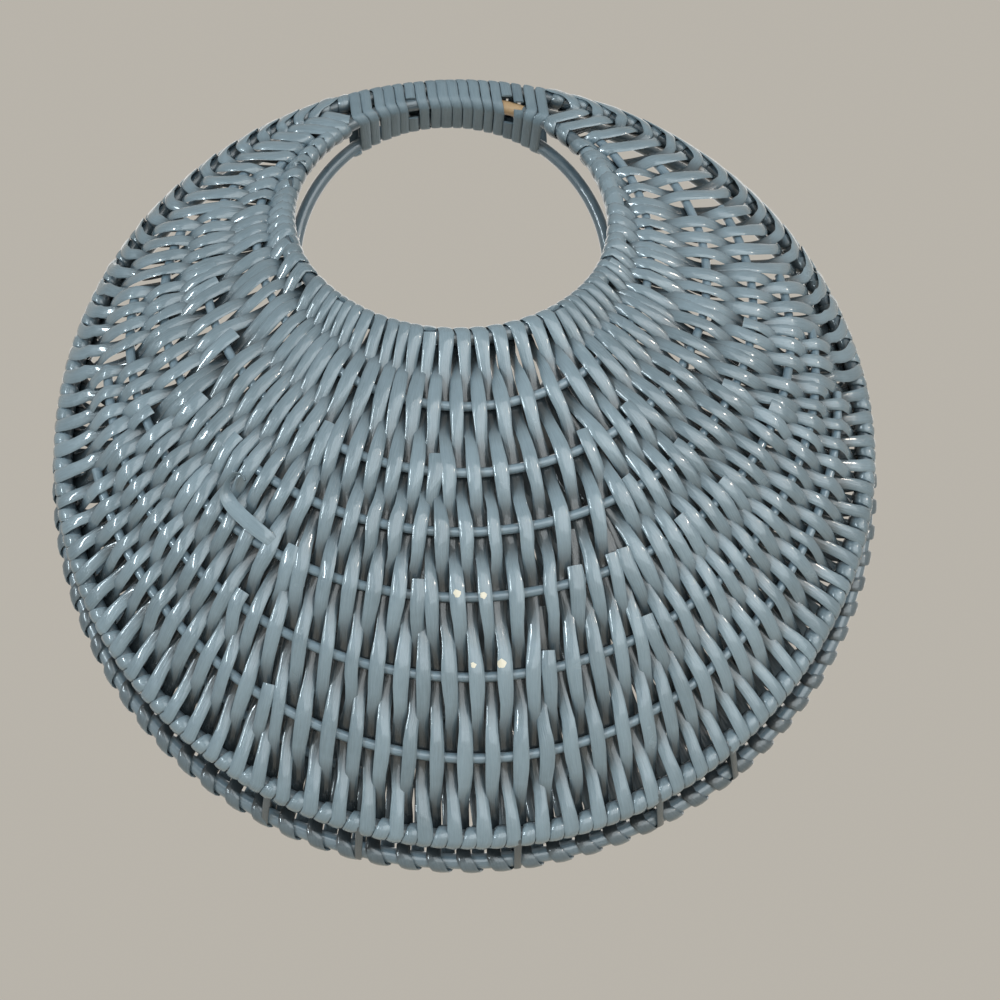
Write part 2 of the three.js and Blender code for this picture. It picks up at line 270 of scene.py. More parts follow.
class Bundle:
    """Strands gathered into one mesh."""

    def __init__(self):
        self.verts = []
        self.faces = []
        self.data = []
        self.cover = []
        self.count = 0

    def strand(
        self,
        centre,
        along,
        width,
        thickness,
        roll=0.0,
        section=LENS_SECTION,
        closed=False,
        cover=1.0,
    ):
        """A strand through the centres. along is the direction across its flat, and roll turns
        it about its course."""
        count = len(centre)
        sides = len(section)
        if closed:
            course = unit(np.roll(centre, -1, 0) - np.roll(centre, 1, 0))
        else:
            course = unit(np.gradient(centre, axis=0))
        across = unit(along - course * np.sum(along * course, -1, keepdims=True))
        up = np.cross(course, across)
        cos, sin = (part(np.broadcast_to(roll, count))[:, None] for part in (np.cos, np.sin))
        across, up = across * cos + up * sin, up * cos - across * sin
        half_width = np.broadcast_to(width, count)[:, None, None] / 2
        half_thickness = np.broadcast_to(thickness, count)[:, None, None] / 2
        x = section[None, :, :1] * half_width
        y = section[None, :, 1:] * half_thickness
        self.verts.append((centre[:, None] + across[:, None] * x + up[:, None] * y).reshape(-1, 3))

        data = np.empty((count, sides, 3))
        data[..., 0] = lengths_along(centre)[:, None] / MM_PER_M + rng.uniform(0, GRAIN_LENGTH)
        data[..., 1] = section[None, :, 0]
        data[..., 2] = rng.uniform()
        self.data.append(data.reshape(-1, 3))
        self.cover.append(np.repeat(np.broadcast_to(cover, count), sides))

        station = np.arange(count if closed else count - 1)[:, None]
        here = self.count + station * sides
        there = self.count + (station + 1) % count * sides
        side = np.arange(sides)[None]
        next_side = (side + 1) % sides
        corners = [here + side, there + side, there + next_side, here + next_side]
        self.faces.extend(np.stack(corners, -1).reshape(-1, 4).tolist())
        if not closed:
            last = self.count + (count - 1) * sides
            self.faces.append(list(range(self.count, self.count + sides)))
            self.faces.append(list(reversed(range(last, last + sides))))
        self.count += count * sides

    def rod(self, panel, turn, share, diameter, sides, **settings):
        """A round rod that lies in the panel."""
        centre = panel.point(turn, share)
        out = panel.out(turn, share)
        section = round_section(sides)
        self.strand(centre, out, diameter, diameter, section=section, **settings)

    def finish(self, name, material, slot, *nodes):
        verts, data, cover = (np.concatenate(part) for part in (self.verts, self.data, self.cover))
        piece = make_object(name, verts, self.faces, data, cover, material)
        if nodes:
            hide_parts(*nodes)


# Materials

# Each paint's base colours: dark, middle and light
PAINT_TONES = ((0.11, 0.158, 0.19), (0.152, 0.213, 0.256), (0.19, 0.262, 0.312))
# The back panel's paint is the front's in painted shade: darker copies of the same colours
SHADED_BACK_TONES = ((0.075, 0.11, 0.138), (0.112, 0.16, 0.195), (0.155, 0.215, 0.258))
ROD_TONES = ((0.075, 0.118, 0.15), (0.125, 0.187, 0.235), (0.195, 0.265, 0.32))
BAND_TONES = ((0.075, 0.115, 0.148), (0.118, 0.17, 0.208), (0.165, 0.226, 0.268))
BARE_TONES = ((0.14, 0.085, 0.04), (0.3, 0.195, 0.1), (0.45, 0.32, 0.18))
CHIP_COLOUR = (0.62, 0.58, 0.47, 1)

# The tone at which each of those colours is reached, and the grey of painted shade that darkens them
# at each painted light
TONE_STOPS = (0.22, 0.5, 0.8)
PAINTED_SHADE_STOPS = ((0.0, 0.14), (0.5, 0.5), (1.0, 1.0))

# The grain's stretch along the strand, across it and by its draw
GRAIN_STRETCH = (70.0, 3.2, 37.0)

# Each noise's scale, detail and roughness
GRAIN_NOISE = (1.6, 4.0, 0.6)
FINE_NOISE = (420.0, 3.0, 0.6)
PATCH_NOISE = (60.0, 3.0, 0.55)
CLOUD_NOISE = (9.0, 2.0, 0.5)
FLECK_NOISE = (700.0, 2.0, 0.5)

# What the grain, patches and clouds add to the tone, and how far one strand's tone can lie from
# another's
GRAIN_TONE = 0.5
PATCH_TONE = 0.5
CLOUD_TONE = 0.3
STRAND_TONE = 0.28

# How far the roughness goes up and down from place to place, and the coat's own
GLOSS_SPREAD = 0.24
COAT_ROUGHNESS = 0.08

# The bump's strength and depth in metres, and what the grain and the fine noise add to it
BUMP = {"Strength": 0.5, "Distance": 0.0009}
GRAIN_BUMP = 0.7
FINE_BUMP = 0.35

# Paint chips on the belly: degrees from the foot, share and radius. Their edges are ragged by
# this many metres
CHIPS = (
    (-6.5, 0.54, 1.7), (-2.5, 0.545, 1.5), (-0.5, 0.675, 2.0), (-4.5, 0.675, 1.3), (11.5, 0.66, 1.4),
)
CHIP_RAGGED = 0.0022

# The sockets of a Mix node that mixes colours
MIX_FACTOR, MIX_A, MIX_B, MIX_RESULT = 0, 6, 7, 2


class Nodes:
    """A short way to write a node tree."""

    def __init__(self, name):
        self.material = bpy.data.materials.new(name)
        self.material.use_nodes = True
        self.tree = self.material.node_tree
        self.shader = self.tree.nodes["Principled BSDF"]

    def feed(self, node, inputs):
        """Set each input to its value, or link it to another node's output."""
        for key, value in inputs.items():
            if isinstance(value, bpy.types.NodeSocket):
                self.tree.links.new(value, node.inputs[key])
            else:
                node.inputs[key].default_value = value

    def add(self, kind, inputs, **settings):
        node = self.tree.nodes.new(kind)
        for key, value in settings.items():
            setattr(node, key, value)
        self.feed(node, inputs)
        return node

    def attribute(self, name, output):
        settings = {"attribute_name": name, "attribute_type": "GEOMETRY"}
        return self.add("ShaderNodeAttribute", {}, **settings).outputs[output]

    def math(self, operation, a, b, clamp=False):
        node = self.add("ShaderNodeMath", {0: a, 1: b}, operation=operation, use_clamp=clamp)
        return node.outputs[0]

    def times(self, a, b):
        return self.math("MULTIPLY", a, b)

    def plus(self, a, b, clamp=False):
        return self.math("ADD", a, b, clamp)

    def centred(self, value, spread):
        """A value between 0 and 1, moved to lie about 0 and scaled."""
        return self.times(self.math("SUBTRACT", value, 0.5), spread)

    def noise(self, at, scale, detail, roughness):
        inputs = {"Vector": at, "Scale": scale, "Detail": detail, "Roughness": roughness}
        return self.add("ShaderNodeTexNoise", inputs).outputs["Fac"]

    def ramp(self, factor, *stops):
        node = self.add("ShaderNodeValToRGB", {"Fac": factor})
        elements = node.color_ramp.elements
        while len(elements) < len(stops):
            elements.new(0.5)
        for element, (place, colour) in zip(elements, stops):
            element.position = place
            element.color = (*colour, 1)
        return node.outputs["Color"]

    def mix(self, factor, a, b, blend="MIX"):
        inputs = {MIX_FACTOR: factor, MIX_A: a, MIX_B: b}
        node = self.add("ShaderNodeMix", inputs, data_type="RGBA", blend_type=blend)
        return node.outputs[MIX_RESULT]


def painted_cane(name, tones, rough, coat=0.9, chips=()):
    """Glossy paint over split cane: fibres show through it, and each strand took it a little
    differently. Its colour is darkened as painted shade where a vertex's painted light is low."""
    nodes = Nodes(name)
    split = nodes.add("ShaderNodeSeparateXYZ", {0: nodes.attribute("strand", "Vector")})
    along, across, draw = split.outputs
    place = nodes.add("ShaderNodeNewGeometry", {}).outputs["Position"]
    stretched = [nodes.times(part, by) for part, by in zip((along, across, draw), GRAIN_STRETCH)]
    grain_at = nodes.add("ShaderNodeCombineXYZ", dict(enumerate(stretched))).outputs[0]
    grain = nodes.noise(grain_at, *GRAIN_NOISE)
    fine = nodes.noise(place, *FINE_NOISE)
    patch = nodes.noise(place, *PATCH_NOISE)
    cloud = nodes.noise(place, *CLOUD_NOISE)

    tone = nodes.plus(nodes.times(grain, GRAIN_TONE), nodes.times(patch, PATCH_TONE))
    tone = nodes.plus(tone, nodes.centred(draw, STRAND_TONE))
    tone = nodes.plus(tone, nodes.centred(cloud, CLOUD_TONE), clamp=True)
    colour = nodes.ramp(tone, *zip(TONE_STOPS, tones))
    # Painted shade: the colour is multiplied by a grey that is darker where the vertex's painted light
    # is lower
    greys = ((cover, (shade, shade, shade)) for cover, shade in PAINTED_SHADE_STOPS)
    shade = nodes.ramp(nodes.attribute("cover", "Fac"), *greys)
    colour = nodes.mix(1.0, colour, shade, "MULTIPLY")
    if chips:
        ragged = nodes.times(nodes.noise(place, *FLECK_NOISE), CHIP_RAGGED)
    for centre, radius in chips:
        ends = {0: place, 1: tuple(centre)}
        gap = nodes.add("ShaderNodeVectorMath", ends, operation="DISTANCE").outputs["Value"]
        chipped = nodes.math("LESS_THAN", nodes.plus(gap, ragged), radius + CHIP_RAGGED / 2)
        colour = nodes.mix(chipped, colour, CHIP_COLOUR)

    height = nodes.plus(nodes.times(grain, GRAIN_BUMP), nodes.times(fine, FINE_BUMP))
    surface = {
        "Base Color": colour,
        "Roughness": nodes.plus(rough - GLOSS_SPREAD / 2, nodes.times(patch, GLOSS_SPREAD)),
        "Coat Weight": coat,
        "Coat Roughness": COAT_ROUGHNESS,
        "Normal": nodes.add("ShaderNodeBump", {"Height": height, **BUMP}).outputs[0],
    }
    nodes.feed(nodes.shader, surface)
    return nodes.material


def chip_places(panel):
    """The middle and radius in metres of each chip, on the strands that cross over a stave."""
    places = []
    for turn, share, radius in CHIPS:
        turn = math.radians(turn)
        height = STAVE_ROD + STRAND_THICKNESS
        point = panel.point(turn, share) + panel.out(turn, share) * height
        places.append((point / MM_PER_M, radius / MM_PER_M))
    return places


# Rods


def rod_share(rod, turn):
    """A rod's share at a turn. rod may lie between two rods."""
    places = np.arange(RODS)
    bend = np.interp(rod, places, ROD_BEND) * np.sin(turn) ** 2
    return np.interp(rod, places, ROD_SHARE) + bend


def add_rods(panel, ends, material):
    turn = np.linspace(-np.pi, np.pi, RIM_STATIONS + 1)[:-1]
    for share, name in ((0, "mouth_ring"), (1, "hoop")):
        rod = Bundle()
        # Painted shade on the bare rims, by the panel's painted light for them
        rod.rod(panel, turn, share, 2 * RIM_ROD, RIM_SIDES, closed=True, cover=panel.rim_cover)
        rod.finish(f"{panel.name}_{name}_rod", material, "rods", f"{panel.name}_{name}")
    for number in range(1, STAVES + 1):
        left, right = (math.radians(side[number]) for side in ends)
        turn = np.linspace(-left, right, STAVE_STATIONS)
        rod = Bundle()
        rod.rod(panel, turn, rod_share(number, turn), 2 * STAVE_ROD, STAVE_SIDES)
        rod.finish(
            f"{panel.name}_stave_rod_{number}", material, "rods", f"{panel.name}_stave_{number}"
        )


# The woven panels

# A run is one crossing of a panel between ring and hoop. A short row is a pair of runs that starts
# at a stave.

# Pieces that each panel's weave is in, as in the part's source
WEAVERS = 8

# Courses of single runs: degrees from the foot on the ring and on the hoop, and how late the run
# turns between them
FRONT_LEFT_COURSES = np.array(
    [
        (0, 0, 1.2), (20, 23, 1.2), (36, 50, 1.25), (56, 83, 1.3),
        (75, 102, 1.4), (95, 130, 0.95), (120, 148, 0.85), (145, 166, 0.8),
    ]
)
FRONT_RIGHT_COURSES = np.array(
    [
        (0, 0, 1.2), (9, 9, 1.2), (17, 20, 1.2), (21.5, 32, 1.2), (25, 45, 1.2), (34, 67, 1.05),
        (60, 106, 1), (80, 126, 0.95), (100, 140, 0.9), (119, 149, 0.85), (141.5, 163, 0.8),
    ]
)
BACK_COURSES = np.array([(0, 0, 1.2), (20, 26, 1.2), (36, 55, 1.2), (52, 85, 1.1), (67, 105, 1)])

# Rounds in which a course's share is found, as it depends on the turn
COURSE_ROUNDS = 3

# Pairs of runs counted from the foot, and the degrees on the hoop that they reach
FRONT_LEFT_PAIRS = np.array([(0, 0), (42, 157), (45, 166)])
FRONT_RIGHT_PAIRS = np.array([(0, 0), (28, 106), (38, 152), (41, 163)])
BACK_PAIRS = np.array([(0, 0), (27, 105)])

# Where the short rows start: degrees from the foot, and the rod
FRONT_LEFT_SHORT = (
    (6.5, 2), (12, 4), (32.6, 2), (32.7, 6), (33.4, 4), (41, 5),
    (50, 3), (61, 3), (66.5, 2), (75.5, 4), (81, 2), (88, 2),
)
FRONT_RIGHT_SHORT = (
    (5, 5), (13, 4), (18, 4), (19, 5), (24, 2), (24.5, 4), (26.6, 3),
    (31.7, 2), (33.4, 4), (36, 3), (45, 4), (55, 3), (64, 4), (74, 3),
)
BACK_SHORT = (
    (8, 4), (15, 3), (22, 2), (30, 4), (38, 3), (45, 2),
    (52, 4), (60, 3), (66, 2), (74, 4), (79, 3), (84, 4),
)

# The share of a run's room that a short row takes on its first three rods
SHORT_ROW_ROOM = (0.35, 0.8, 1)

# How a short row starts, behind its first rod or over it: its stations before that rod and how far
# its wave goes on there, both in spaces between rods
TUCKED_START = ((0.8, 0.6, 0.4, 0.2), 0.05)
PROUD_START = ((0.24, 0.12), 0.3)

# Over how many runs the spacing is evened out, short rows push their neighbours, and the pitch is
# averaged
EVENED_OVER = 3.0
PUSH_WINDOW = 19
PITCH_WINDOW = 7

# How far each run of a pair keeps off the other on the hoop, in pitches, where more than one turn
# lies between them
PARTED = 0.25

# The widest that a strand can be, in pitches: over the staves, and wound round a rim
WIDEST_RUN = 1.84
WIDEST_WOUND = 1.9

# How much narrower a strand looks between two rods
WAIST = 0.17

# Crowded strands lie on each other's edges: the part of their thickness that counts, and the sine
# of the steepest tilt
SHINGLED = 0.95
STEEPEST = 0.85

# A run that comes from behind the ring twists before its first stave: the twist's middle and reach
# in spaces between rods, and its roll in radians. Near the foot it twists more: the middle and reach
# of that in degrees, and the roll that is added
TWIST_PLACE = (0.42, 0.3)
TWIST = 0.3
FOOT_TWIST_PLACE = (3, 22)
FOOT_TWIST = 0.7

# How unevenly the runs lie: sideways and in roll, in radians, and in width. The fourth draw of each
# run is spare
SIDEWAYS_JITTER = 0.0045
WIDTH_JITTER = 0.05
ROLL_JITTER = 0.1
JITTERS = 4

# Painted shade on strands that dip under the rods: the height over the panel below which a strand
# is painted fully shaded, and how much higher up it is painted fully lit
FULL_SHADE_BELOW = -3.4
SHADE_FADE = 5

# The light painted on a wound strand's outer side, the facing from which it rises out of the painted
# shade of its inner side, and how far it rises
WOUND_PAINTED_LIGHT = 0.95
FACING_FROM = -0.3
FACING_RISE = 0.8

# Stations in one turn round a rim
LOOP_STATIONS = 10


def course_at(courses, on_hoop, rod):
    """Degrees from the foot at which a run that meets the hoop at on_hoop crosses a rod."""
    on_ring, late = (np.interp(on_hoop, courses[:, 1], courses[:, column]) for column in (0, 2))
    turn = on_hoop
    for _ in range(COURSE_ROUNDS):
        share = rod_share(rod, np.radians(turn))
        turn = on_ring + (on_hoop - on_ring) * share**late
    return turn


class HalfWeave:
    """The runs on one side of the foot: the rod that each starts at, and the degrees from the foot
    at which it crosses each rod."""

    def __init__(self, side, courses, pairs, short):
        count = int(pairs[-1, 0])
        # The two runs of a pair lie a quarter of its room in from its ends
        hoop = np.interp(np.arange(2 * count) / 2 + 0.25, pairs[:, 0], pairs[:, 1])
        self.first = np.zeros(2 * count, int)
        for turn, rod in short:
            off = np.abs(course_at(courses, hoop[::2], rod) - turn)
            pair = np.argmin(np.where(self.first[::2] > 0, np.inf, off))
            self.first[2 * pair : 2 * pair + 2] = rod
        self.angles = side * np.stack([course_at(courses, hoop, rod) for rod in range(RODS)], -1)


class Weave:
    """The runs of one panel and the strands that they join into.

    fine is the number of stations from rod to rod. Each station has a centre, the direction across
    the strand there, its width, its roll and its painted light, which is below 1 where it is painted
    in shade.
    """

    def __init__(self, panel, left, right, rod_ends, turns_on_hoop, fine):
        self.panel = panel
        self.rod_ends = rod_ends
        self.fine = fine
        self.turns_on_hoop = turns_on_hoop
        self.first = np.concatenate([left.first[::-1], right.first])
        self.count = len(self.first)
        self.angles = self.place_runs(np.concatenate([left.angles[::-1], right.angles]))
        rods = np.array([RIM_ROD] + [STAVE_ROD] * STAVES + [RIM_ROD])
        self.stand = rods + STRAND_THICKNESS / 2 + CLEARANCE
        self.pitch = self.pitches()
        self.jitter = rng.normal(0, 1, (self.count, RODS, JITTERS))

    def place_runs(self, plain):
        """The turn at which each run crosses each rod. A short row takes its full room only past
        its second rod."""
        angles = np.empty((self.count, RODS))
        for rod in range(RODS):
            there = np.flatnonzero(self.first <= rod)
            even = smoothed(plain[there, rod], EVENED_OVER)
            age = np.where(self.first[there] > 0, rod - self.first[there], RODS)
            share = np.interp(age, range(len(SHORT_ROW_ROOM)), SHORT_ROW_ROOM)
            room = (share[1:] + share[:-1]) / 2
            slip = np.concatenate([[0], np.cumsum(np.diff(even) * (1 - room))])
            push = averaged(slip, PUSH_WINDOW, mode="reflect", reflect_type="odd")
            angles[:, rod] = np.interp(np.arange(self.count), there, even - slip + push)
        if self.turns_on_hoop > 1:
            parted = np.where(np.arange(self.count) % 2 == 0, -PARTED, PARTED)
            angles[:, -1] += parted * np.gradient(angles[:, -1])
        return np.radians(angles)

    def pitches(self):
        """The room that each run has on each rod."""
        pitch = np.empty_like(self.angles)
        for rod in range(RODS):
            there = np.flatnonzero(self.first <= rod)
            turn = self.angles[there, rod]
            points = self.panel.point(turn, rod_share(rod, turn))
            gap = np.linalg.norm(np.diff(points, axis=0), axis=1)
            gap = np.concatenate([gap[:1], gap, gap[-1:]])
            mean = averaged((gap[1:] + gap[:-1]) / 2, PITCH_WINDOW, mode="edge")
            pitch[:, rod] = np.interp(np.arange(self.count), there, mean)
        return pitch

    def rods_of(self, run):
        """The rods that a run crosses."""
        own = np.degrees(self.angles[run])
        left, right = self.rod_ends
        return [rod for rod in range(self.first[run], RODS) if -left[rod] <= own[rod] <= right[rod]]

    def sign(self, run, rod):
        """1 where the run passes over the rod, seen from outside, and -1 where it passes under."""
        beyond = sum(1 for other in self.rods_of(run) if other > rod)
        return 1 if (run + beyond) % 2 else -1

    def stations(self, run, outward):
        """Stations of one run between its first rod and the hoop."""
        panel = self.panel
        start = self.first[run]
        tucked = start > 0 and self.sign(run, start) < 0
        lead, goes_on = TUCKED_START if tucked else PROUD_START
        at = np.linspace(start, RODS - 1, (RODS - 1 - start) * self.fine + 1)
        if start > 0:
            at = np.concatenate([start - np.array(lead), at])
        sideways, wider, rolled, _ = (curve_through(draws, at) for draws in self.jitter[run].T)
        turn = curve_through(self.angles[run], at)
        share = rod_share(at, turn)

        rods = np.array(self.rods_of(run))
        height = np.array([self.sign(run, rod) * self.stand[rod] for rod in rods])
        span = np.clip(np.searchsorted(rods, at, side="right") - 1, 0, len(rods) - 2)
        part = np.clip((at - rods[span]) / (rods[span + 1] - rods[span]), -goes_on, 1)
        rise = lerp(height[span], height[span + 1], 0.5 - 0.5 * np.cos(np.pi * part))
        between = np.sin(np.pi * part) ** 2

        pitch = curve_through(self.pitch[run], at)
        width = np.minimum(STRAND_WIDTH, WIDEST_RUN * pitch)
        width = width * (1 - WAIST * between) * (1 + WIDTH_JITTER * wider)
        tilt = np.arcsin(np.clip(SHINGLED * STRAND_THICKNESS / pitch, 0, STEEPEST))
        roll = np.sign(turn.mean()) * tilt * between + ROLL_JITTER * rolled
        if start == 0 and self.sign(run, 0) < 0:
            twist = TWIST + FOOT_TWIST * bell(math.degrees(turn[0]), *FOOT_TWIST_PLACE)
            roll = roll + twist * bell(at, *TWIST_PLACE)

        turn = turn + SIDEWAYS_JITTER * sideways * between
        centre = panel.point(turn, share) + panel.out(turn, share) * rise[:, None]
        along = panel.along(turn, share)
        # Painted shade, darker the deeper the strand lies under the rods
        cover = smoothstep((rise - FULL_SHADE_BELOW) / SHADE_FADE)
        if outward:
            return centre, along, width, roll, cover
        return centre[::-1], along[::-1], width[::-1], -roll[::-1], cover[::-1]

    def loop(self, run, other, rod):
        """Stations of the loop by which one run turns into the next, round the ring or the hoop."""
        panel = self.panel
        face = self.sign(run, rod)
        share = 1.0 if rod else 0.0
        outward = 1 if rod else -1
        if rod:
            turns = self.turns_on_hoop
        else:
            turns = 0.5 if face != self.sign(other, 0) else 1.0
        steps = int(LOOP_STATIONS * turns) + 1
        angle = np.linspace(0, 2 * np.pi * turns, steps + 2)[1:-1]
        part = angle / (2 * np.pi * turns)
        turn = lerp(self.angles[run, rod], self.angles[other, rod], part)
        touch = RIM_ROD + STRAND_THICKNESS / 2 + CLEARANCE
        facing = face * np.cos(angle)
        centre = (
            panel.point(turn, share)
            + panel.out(turn, share) * (touch * facing)[:, None]
            + panel.away(turn, share) * (outward * touch * np.sin(angle))[:, None]
        )
        room = WIDEST_WOUND * lerp(self.pitch[run, rod], self.pitch[other, rod], part)
        width = np.minimum(STRAND_WIDTH, room / 2 if turns > 1 else room)
        # Painted shade on the side of the winding that faces in, against the rim
        outer = smoothstep((facing - FACING_FROM) / FACING_RISE)
        cover = lerp(panel.hidden_cover, WOUND_PAINTED_LIGHT, outer)
        return centre, panel.along(turn, share), width, np.zeros(steps), cover

    def strand(self, bundle, runs, after=None):
        """One strand through these runs, which go out to the hoop and come back in turn."""
        pieces = []
        for i, run in enumerate(runs):
            outward = i % 2 == 0
            pieces.append(self.stations(run, outward))
            if i + 1 < len(runs):
                pieces.append(self.loop(run, runs[i + 1], RODS - 1 if outward else 0))
        if after is not None:
            pieces.append(self.loop(runs[-1], after, 0))
        centre, along, width, roll, cover = (np.concatenate(column) for column in zip(*pieces))
        bundle.strand(centre, along, width, STRAND_THICKNESS, roll, cover=cover)


def add_weave(weave, material):
    """The panel's weavers, in as many pieces as the part has, each with the short rows in it."""
    name = weave.panel.name
    full = np.flatnonzero(weave.first == 0)
    short = np.flatnonzero(weave.first > 0).reshape(-1, 2)
    # Each piece has whole pairs of runs
    cuts = np.round(np.linspace(0, len(full) // 2, WEAVERS + 1)).astype(int) * 2
    edges = [0, *(full[cut] for cut in cuts[1:-1]), weave.count]
    for number in range(1, WEAVERS + 1):
        start, end = cuts[number - 1], cuts[number]
        bundle = Bundle()
        weave.strand(bundle, full[start:end], full[end] if number < WEAVERS else None)
        for pair in short:
            if edges[number - 1] <= pair[0] < edges[number]:
                weave.strand(bundle, pair)
        bundle.finish(f"{name}_weave_{number}", material, "cane", f"{name}_weaver_{number}")


# The handle. Its places are millimetres to the right of the basket's middle.

HANDLE_FROM = -48.5
HANDLE_TO = 56.5
HANDLE_TURNS = 18.5
BAND_WIDTH = 5.35
BAND_THICKNESS = 1.3

# Points of each rim that the handle's height is read from, the stations at first in one turn of the
# band, and how far apart its even stations then lie
HANDLE_SAMPLES = 721
BAND_STATIONS = 36
BAND_STEP = 1.3

# How far the band's top lies further right than its foot, from place to place
SLANT = ((HANDLE_FROM, -30, -14, 10, 34, 46, HANDLE_TO), (-5, -2.5, 0.5, -1, 1, 5, 10))

# Where the band gapes, and the extra room there. A gap opens over one length, and its neighbours
# give way over another
GAPES = ((-35.0, 0.9), (-9.0, 0.7), (44.0, 0.5))
GAPE_LENGTH = 4
GAPE_GIVE = 44

# Air under the band, how far that varies, and the two rates at which it does with the angle
BAND_LIFT = 0.15
BAND_UNEVEN = 0.12
UNEVEN_RATES = (2.3, 0.37)

# How far the turns fan out with the ring, from 0 to 1, and how the band's width varies: by what
# share, and over how many radians of winding
BAND_FAN = 0.7
BAND_VARIES = ((0.06, 2.7), (0.04, 7.1))

# Where the band is broken: from and to along the handle, and how far over and behind the front
# ring it is missing. How ragged its ends are there, and how fast that changes along the handle
BREAKS = ((-18.0, -10.5, -0.5, 4.5), (31.5, 41.0, 2.5, 6))
BREAK_RAGGED = 1.5
RAGGED_RATE = 2.1

# Bare cane under the second break: how far it goes on beside it, how far it stands off the rod, and
# its stations
BARE_MARGIN = 2
BARE_PROUD = 0.08
BARE_STATIONS = 12


def handle_rods(x):
    """Middles in y and z of the four rods that the handle holds, at each x."""
    turn = np.linspace(1.5 * np.pi, 0.5 * np.pi, HANDLE_SAMPLES)
    rods = []
    for share in (1, 0):
        for panel in (front, back):
            points = panel.point(turn, share)
            rods.append([np.interp(x, points[:, 0], points[:, axis]) for axis in (1, 2)])
    return np.array(rods)


def handle_point(x, angle, over):
    """Where a band pulled tight round the four rods lies, facing each angle: 0 is the back, and a
    quarter turn is up."""
    rods = handle_rods(x)
    facing = np.stack([np.cos(angle), np.sin(angle)])
    reach = rods[:, 0] * facing[0] + rods[:, 1] * facing[1]
    best = reach.argmax(0)
    pick = np.arange(len(x))
    y = rods[best, 0, pick] + over * facing[0]
    z = rods[best, 1, pick] + over * facing[1]
    return np.stack([x, y, z], -1)


def handle_stations():
    """The wound band's middle, in even steps along it, with its angle and its place along the
    handle."""
    total = int(HANDLE_TURNS * BAND_STATIONS)
    angle = 2 * np.pi * np.arange(total + 1) / BAND_STATIONS - 0.5 * np.pi
    middle = np.linspace(HANDLE_FROM, HANDLE_TO, total + 1)
    for place, room in GAPES:
        off = middle - place
        opened, given = (smoothstep(off / reach + 0.5) for reach in (GAPE_LENGTH, GAPE_GIVE))
        middle = middle + room * (opened - given)
    x = middle + np.interp(middle, *SLANT) / 2 * np.sin(angle)
    fast, slow = (np.sin(angle * rate) for rate in UNEVEN_RATES)
    lift = BAND_LIFT + BAND_UNEVEN * (1 + fast * slow)
    centre = handle_point(x, angle, RIM_ROD + BAND_THICKNESS / 2 + lift)
    length = lengths_along(centre)
    at = np.arange(0, length[-1], BAND_STEP)
    centre = np.stack([np.interp(at, length, centre[:, axis]) for axis in range(3)], -1)
    return centre, np.interp(at, length, angle), np.interp(at, length, middle)


def add_handle(material, bare):
    centre, angle, middle = handle_stations()
    fan = -BAND_FAN * middle / RING_RADIUS
    along = unit(np.stack([np.ones_like(middle), np.zeros_like(middle), fan], -1))
    varies = sum(by * np.sin(angle / winding) for by, winding in BAND_VARIES)
    width = BAND_WIDTH * (1 + varies)
    front_ring = handle_rods(centre[:, 0])[2]
    behind = centre[:, 1] - front_ring[0]
    over = centre[:, 2] - front_ring[1] + BREAK_RAGGED * np.sin(middle * RAGGED_RATE)
    kept = np.ones(len(middle), bool)
    for left, right, most_over, most_behind in BREAKS:
        kept &= (middle < left) | (middle > right) | (over > most_over) | (behind > most_behind)
    kept = np.flatnonzero(kept)
    bundle = Bundle()
    for part in np.split(kept, np.flatnonzero(np.diff(kept) > 1) + 1):
        if len(part) > 2:
            bundle.strand(centre[part], along[part], width[part], BAND_THICKNESS, section=BAND_SECTION)
    bundle.finish("handle_binding", material, "cane", "handle_wrap")

    left, right = BREAKS[1][:2]
    x = np.linspace(left - BARE_MARGIN, right + BARE_MARGIN, BARE_STATIONS)
    turn = np.pi - np.arcsin(x / RING_RADIUS)
    sleeve = Bundle()
    sleeve.rod(front, turn, 0, 2 * (RIM_ROD + BARE_PROUD), RIM_SIDES)
    sleeve.finish("bare_ring_stretch", bare, "rods")


# The ties round both hoops

# Where they are, in degrees from the foot
TIES = (-32.6, -20.1, 0, 19.2, 31.1)
TIE_WIDTH = 3.5
TIE_THICKNESS = 1.2
# How far a tie's middle lies off the hoops' rods
TIE_OFF = 0.7
# The light painted on the ties: painted shade, as they sit between the two hoops
TIE_PAINTED_LIGHT = 0.45
TIE_STATIONS = 32


def add_lashings(material):
    angle = np.linspace(0, 2 * np.pi, TIE_STATIONS + 1)[:-1, None]
    for number, turn in enumerate(np.radians(TIES), 1):
        near = front.point(turn, 1)
        far = back.point(turn, 1)
        along = front.along(turn, 1)
        across = unit(far - near)
        up = unit(np.cross(along, across))
        round_rod = (RIM_ROD + TIE_OFF) * (np.cos(angle) * across + np.sin(angle) * up)
        centre = np.where(np.cos(angle) < 0, near, far) + round_rod
        along = np.broadcast_to(along, centre.shape)
        looks = {"section": BAND_SECTION, "closed": True, "cover": TIE_PAINTED_LIGHT}
        bundle = Bundle()
        bundle.strand(centre, along, TIE_WIDTH, TIE_THICKNESS, **looks)
        bundle.finish(f"rim_tie_{number}", material, "cane", f"rim_lashing_{number}")


# Small things

# A broken run that has sprung loose: degrees from the foot, share, height over the panel, and how
# far it stands on its edge
LOOSE_RUN = (
    (-36.8, 0.532, 2, 0), (-38.5, 0.526, 4.6, 0), (-41, 0.521, 5.4, 0), (-44, 0.515, 5.8, 0),
    (-46.2, 0.508, 6.2, 0.1), (-47.6, 0.496, 6.8, 0.45), (-48, 0.477, 7.2, 0.85),
    (-47.6, 0.457, 7.4, 1), (-46.8, 0.446, 7.2, 1), (-45.8, 0.443, 6.8, 1), (-45.1, 0.449, 6.4, 1),
)
